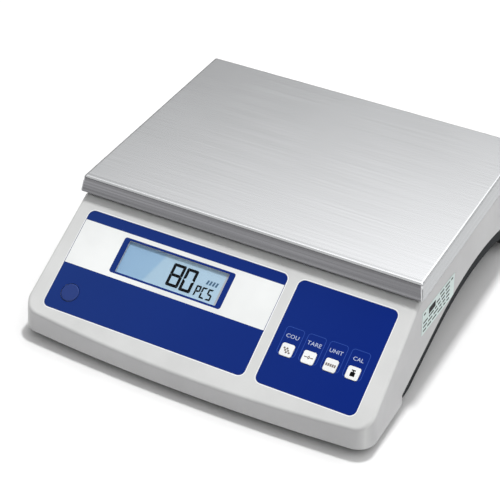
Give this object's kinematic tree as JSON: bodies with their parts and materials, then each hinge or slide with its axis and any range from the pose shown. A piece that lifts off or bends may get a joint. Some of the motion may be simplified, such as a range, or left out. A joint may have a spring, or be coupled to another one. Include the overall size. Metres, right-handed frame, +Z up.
{
  "type": "counting scale",
  "caption": "Bench counting scale with a flat steel weighing pan, sloping front panel with display, bubble level and keys, levelling feet and hand grips.",
  "frame": {"origin": "centre of the footprint at table height, under the middle of the case", "axes": "+X to the user's right, +Y to the back, +Z up; the display faces -Y"},
  "size_m": [0.3092, 0.342, 0.1],
  "materials": {
    "stainless_pan": "fine brushed, satin",
    "cast_alloy": "as cast",
    "black_rubber": "matt moulded",
    "zinc_steel": "bright zinc plated",
    "brass_insert": "turned",
    "chassis_steel": "galvanised sheet",
    "white_case": "fine-grained moulded ABS",
    "grey_base": "fine-grained moulded ABS",
    "printed_film": "printed polyester film, satin",
    "clear_window": "clear polycarbonate",
    "lcd_surface": "liquid crystal panel with dark segments",
    "backlight_panel": "light guide",
    "board_green": "solder mask",
    "black_plastic": "moulded",
    "key_white": "satin moulded",
    "level_parts": "tinted",
    "header_white": "moulded nylon",
    "terminal_tin": "tin plated",
    "label_paper": "printed vinyl",
    "cable_jacket": "PVC",
    "lead_jacket": "PVC"
  },
  "bodies": {
    "case": {"lower_spacer": "cast_alloy", "load_cell_bolts": "zinc_steel", "chassis_screws": "zinc_steel", "overload_stop": "zinc_steel", "case_screws": "zinc_steel", "display_screws": "zinc_steel", "key_board_screws": "zinc_steel", "main_board_screws": "zinc_steel", "converter_shield": "zinc_steel", "foot_nuts": "brass_insert", "chassis_plate": "chassis_steel", "upper_case": "white_case", "base_tray": "grey_base", "display_film": "printed_film", "keypad_film": "printed_film", "display_window": "clear_window", "level_lens": "clear_window", "lcd_glass": "lcd_surface", "lcd_backlight": "backlight_panel", "display_board": "board_green", "key_board": "board_green", "main_board": "board_green", "lcd_frame": "black_plastic", "key_switches": "black_plastic", "power_switch": "black_plastic", "supply_socket": "black_plastic", "processor_chip": "black_plastic", "capacitors": "black_plastic", "buzzer": "black_plastic", "battery": "black_plastic", "level_cup": "level_parts", "level_bubble": "level_parts", "board_headers": "header_white", "battery_terminals": "terminal_tin", "rating_label": "label_paper", "load_cell_cable": "cable_jacket", "battery_leads": "lead_jacket"},
    "pan": {"weighing_pan": "stainless_pan"},
    "platform": {"platform_spider": "cast_alloy", "pan_cushion_front_left": "black_rubber", "pan_cushion_front_right": "black_rubber", "pan_cushion_back_left": "black_rubber", "pan_cushion_back_right": "black_rubber", "upper_spacer": "cast_alloy", "spider_bolts": "zinc_steel", "load_cell": "cast_alloy"},
    "rocker": {"power_rocker": "black_plastic"},
    "battery_cover": {"battery_door": "grey_base"},
    "count_key": {"key_count": "key_white"},
    "tare_key": {"key_tare": "key_white"},
    "unit_key": {"key_unit": "key_white"},
    "calibrate_key": {"key_calibrate": "key_white"},
    "foot_front_left": {"foot_pad_front_left": "black_rubber", "foot_stem_front_left": "zinc_steel"},
    "foot_front_right": {"foot_pad_front_right": "black_rubber", "foot_stem_front_right": "zinc_steel"},
    "foot_back_left": {"foot_pad_back_left": "black_rubber", "foot_stem_back_left": "zinc_steel"},
    "foot_back_right": {"foot_pad_back_right": "black_rubber", "foot_stem_back_right": "zinc_steel"}
  },
  "joints": [
    {"name": "platform_deflection", "type": "slide", "parent": "case", "child": "platform", "axis": [0, 0, 1], "range_m": [-0.0005, 0], "stiffness_N_per_m": 60000, "springref_m": 0.00016, "deforming": ["load_cell"]},
    {"name": "pan_lift", "type": "slide", "parent": "platform", "child": "pan", "axis": [0, 0, 1], "range_m": [0, 0.05]},
    {"name": "rocker_tilt", "type": "hinge", "parent": "case", "child": "rocker", "pos_m": [-0.105, 0.1641, 0.0675], "axis": [-1, 0, 0], "range_deg": [0, 16]},
    {"name": "battery_door_hinge", "type": "hinge", "parent": "case", "child": "battery_cover", "pos_m": [-0.0565, -0.1373, 0.0083], "axis": [-1, 0, 0], "range_deg": [0, 95]},
    {"name": "count_key_press", "type": "slide", "parent": "case", "child": "count_key", "axis": [0, 0.5105, -0.8599], "range_m": [0, 0.0006], "stiffness_N_per_m": 600, "springref_m": -0.0003},
    {"name": "tare_key_press", "type": "slide", "parent": "case", "child": "tare_key", "axis": [0, 0.5105, -0.8599], "range_m": [0, 0.0006], "stiffness_N_per_m": 600, "springref_m": -0.0003},
    {"name": "unit_key_press", "type": "slide", "parent": "case", "child": "unit_key", "axis": [0, 0.5105, -0.8599], "range_m": [0, 0.0006], "stiffness_N_per_m": 600, "springref_m": -0.0003},
    {"name": "calibrate_key_press", "type": "slide", "parent": "case", "child": "calibrate_key", "axis": [0, 0.5105, -0.8599], "range_m": [0, 0.0006], "stiffness_N_per_m": 600, "springref_m": -0.0003},
    {"name": "foot_front_left_screw", "type": "slide", "parent": "case", "child": "foot_front_left", "axis": [0, 0, -1], "range_m": [0, 0.008]},
    {"name": "foot_front_right_screw", "type": "slide", "parent": "case", "child": "foot_front_right", "axis": [0, 0, -1], "range_m": [0, 0.008]},
    {"name": "foot_back_left_screw", "type": "slide", "parent": "case", "child": "foot_back_left", "axis": [0, 0, -1], "range_m": [0, 0.008]},
    {"name": "foot_back_right_screw", "type": "slide", "parent": "case", "child": "foot_back_right", "axis": [0, 0, -1], "range_m": [0, 0.008]}
  ]
}
